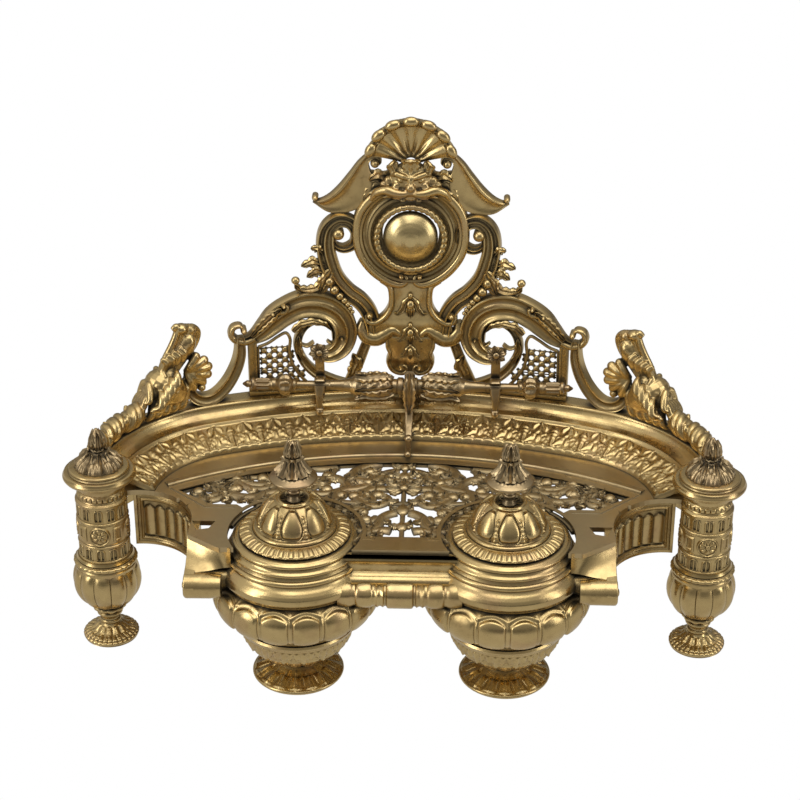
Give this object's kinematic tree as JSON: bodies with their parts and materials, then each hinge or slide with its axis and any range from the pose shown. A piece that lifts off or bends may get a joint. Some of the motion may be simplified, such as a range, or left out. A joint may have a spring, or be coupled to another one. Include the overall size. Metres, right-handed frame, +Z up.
{
  "type": "inkstand",
  "caption": "Half-oval brass desk inkstand: pierced floor and scroll gallery, hinged domed inkwells with glass liners, turned columns and a pen bar lying in hooks.",
  "frame": {"origin": "centre of the footprint on the table", "axes": "+X to the right, +Y to the back, +Z up"},
  "size_m": [0.3846, 0.1942, 0.2875],
  "materials": {
    "antique_brass": "aged lacquered brass, bright on the high spots",
    "tray_brass": "dulled brass with brown patina",
    "polished_brass": "smooth satin brass",
    "brown_bronze": "browned brass",
    "steel_fixing": "dull steel",
    "ink_glass": "clear moulded glass"
  },
  "bodies": {
    "tray": {"rim_back": "tray_brass", "left_rim": "antique_brass", "right_rim": "antique_brass", "deck": "tray_brass", "front_rail": "antique_brass", "left_apron": "tray_brass", "right_apron": "tray_brass", "left_corner_scroll": "antique_brass", "right_corner_scroll": "antique_brass", "floor_grille": "tray_brass", "floor_screws": "steel_fixing", "column_feet": "antique_brass", "left_bulb": "antique_brass", "right_bulb": "antique_brass", "left_shaft": "antique_brass", "right_shaft": "antique_brass", "left_capital": "antique_brass", "right_capital": "antique_brass", "left_cap": "brown_bronze", "right_cap": "brown_bronze", "column_tie_rods": "steel_fixing", "left_well_foot": "antique_brass", "right_well_foot": "antique_brass", "left_well_bowl": "antique_brass", "right_well_bowl": "antique_brass", "left_well_body": "antique_brass", "right_well_body": "antique_brass", "left_liner": "ink_glass", "right_liner": "ink_glass", "left_hinge_pin": "antique_brass", "right_hinge_pin": "antique_brass", "cartouche": "antique_brass", "boss": "polished_brass", "rope_ring": "antique_brass", "crest_shell": "antique_brass", "crest_mask": "antique_brass", "crest_wings": "antique_brass", "pendant": "antique_brass", "left_upper_volute": "antique_brass", "right_upper_volute": "antique_brass", "left_scroll": "antique_brass", "right_scroll": "antique_brass", "left_lattice": "antique_brass", "right_lattice": "antique_brass", "left_side_scroll": "antique_brass", "right_side_scroll": "antique_brass", "left_head": "antique_brass", "right_head": "antique_brass", "left_hook": "brown_bronze", "right_hook": "brown_bronze", "rosette_screws": "brown_bronze", "centre_hook": "brown_bronze", "gallery_screws": "steel_fixing"},
    "left_lid_body": {"left_lid": "antique_brass", "left_finial": "brown_bronze"},
    "right_lid_body": {"right_lid": "antique_brass", "right_finial": "brown_bronze"},
    "pen_bar_body": {"pen_bar": "brown_bronze"}
  },
  "joints": [
    {"name": "left_lid_hinge", "type": "hinge", "parent": "tray", "child": "left_lid_body", "pos_m": [-0.059, -0.01405, 0.0959], "axis": [-1, 0, 0], "range_deg": [0, 95]},
    {"name": "right_lid_hinge", "type": "hinge", "parent": "tray", "child": "right_lid_body", "pos_m": [0.059, -0.01405, 0.0959], "axis": [-1, 0, 0], "range_deg": [0, 95]},
    {"name": "pen_bar_turn", "type": "hinge", "parent": "tray", "child": "pen_bar_body", "pos_m": [0, 0.07075, 0.121], "axis": [1, 0, 0], "continuous": true}
  ]
}
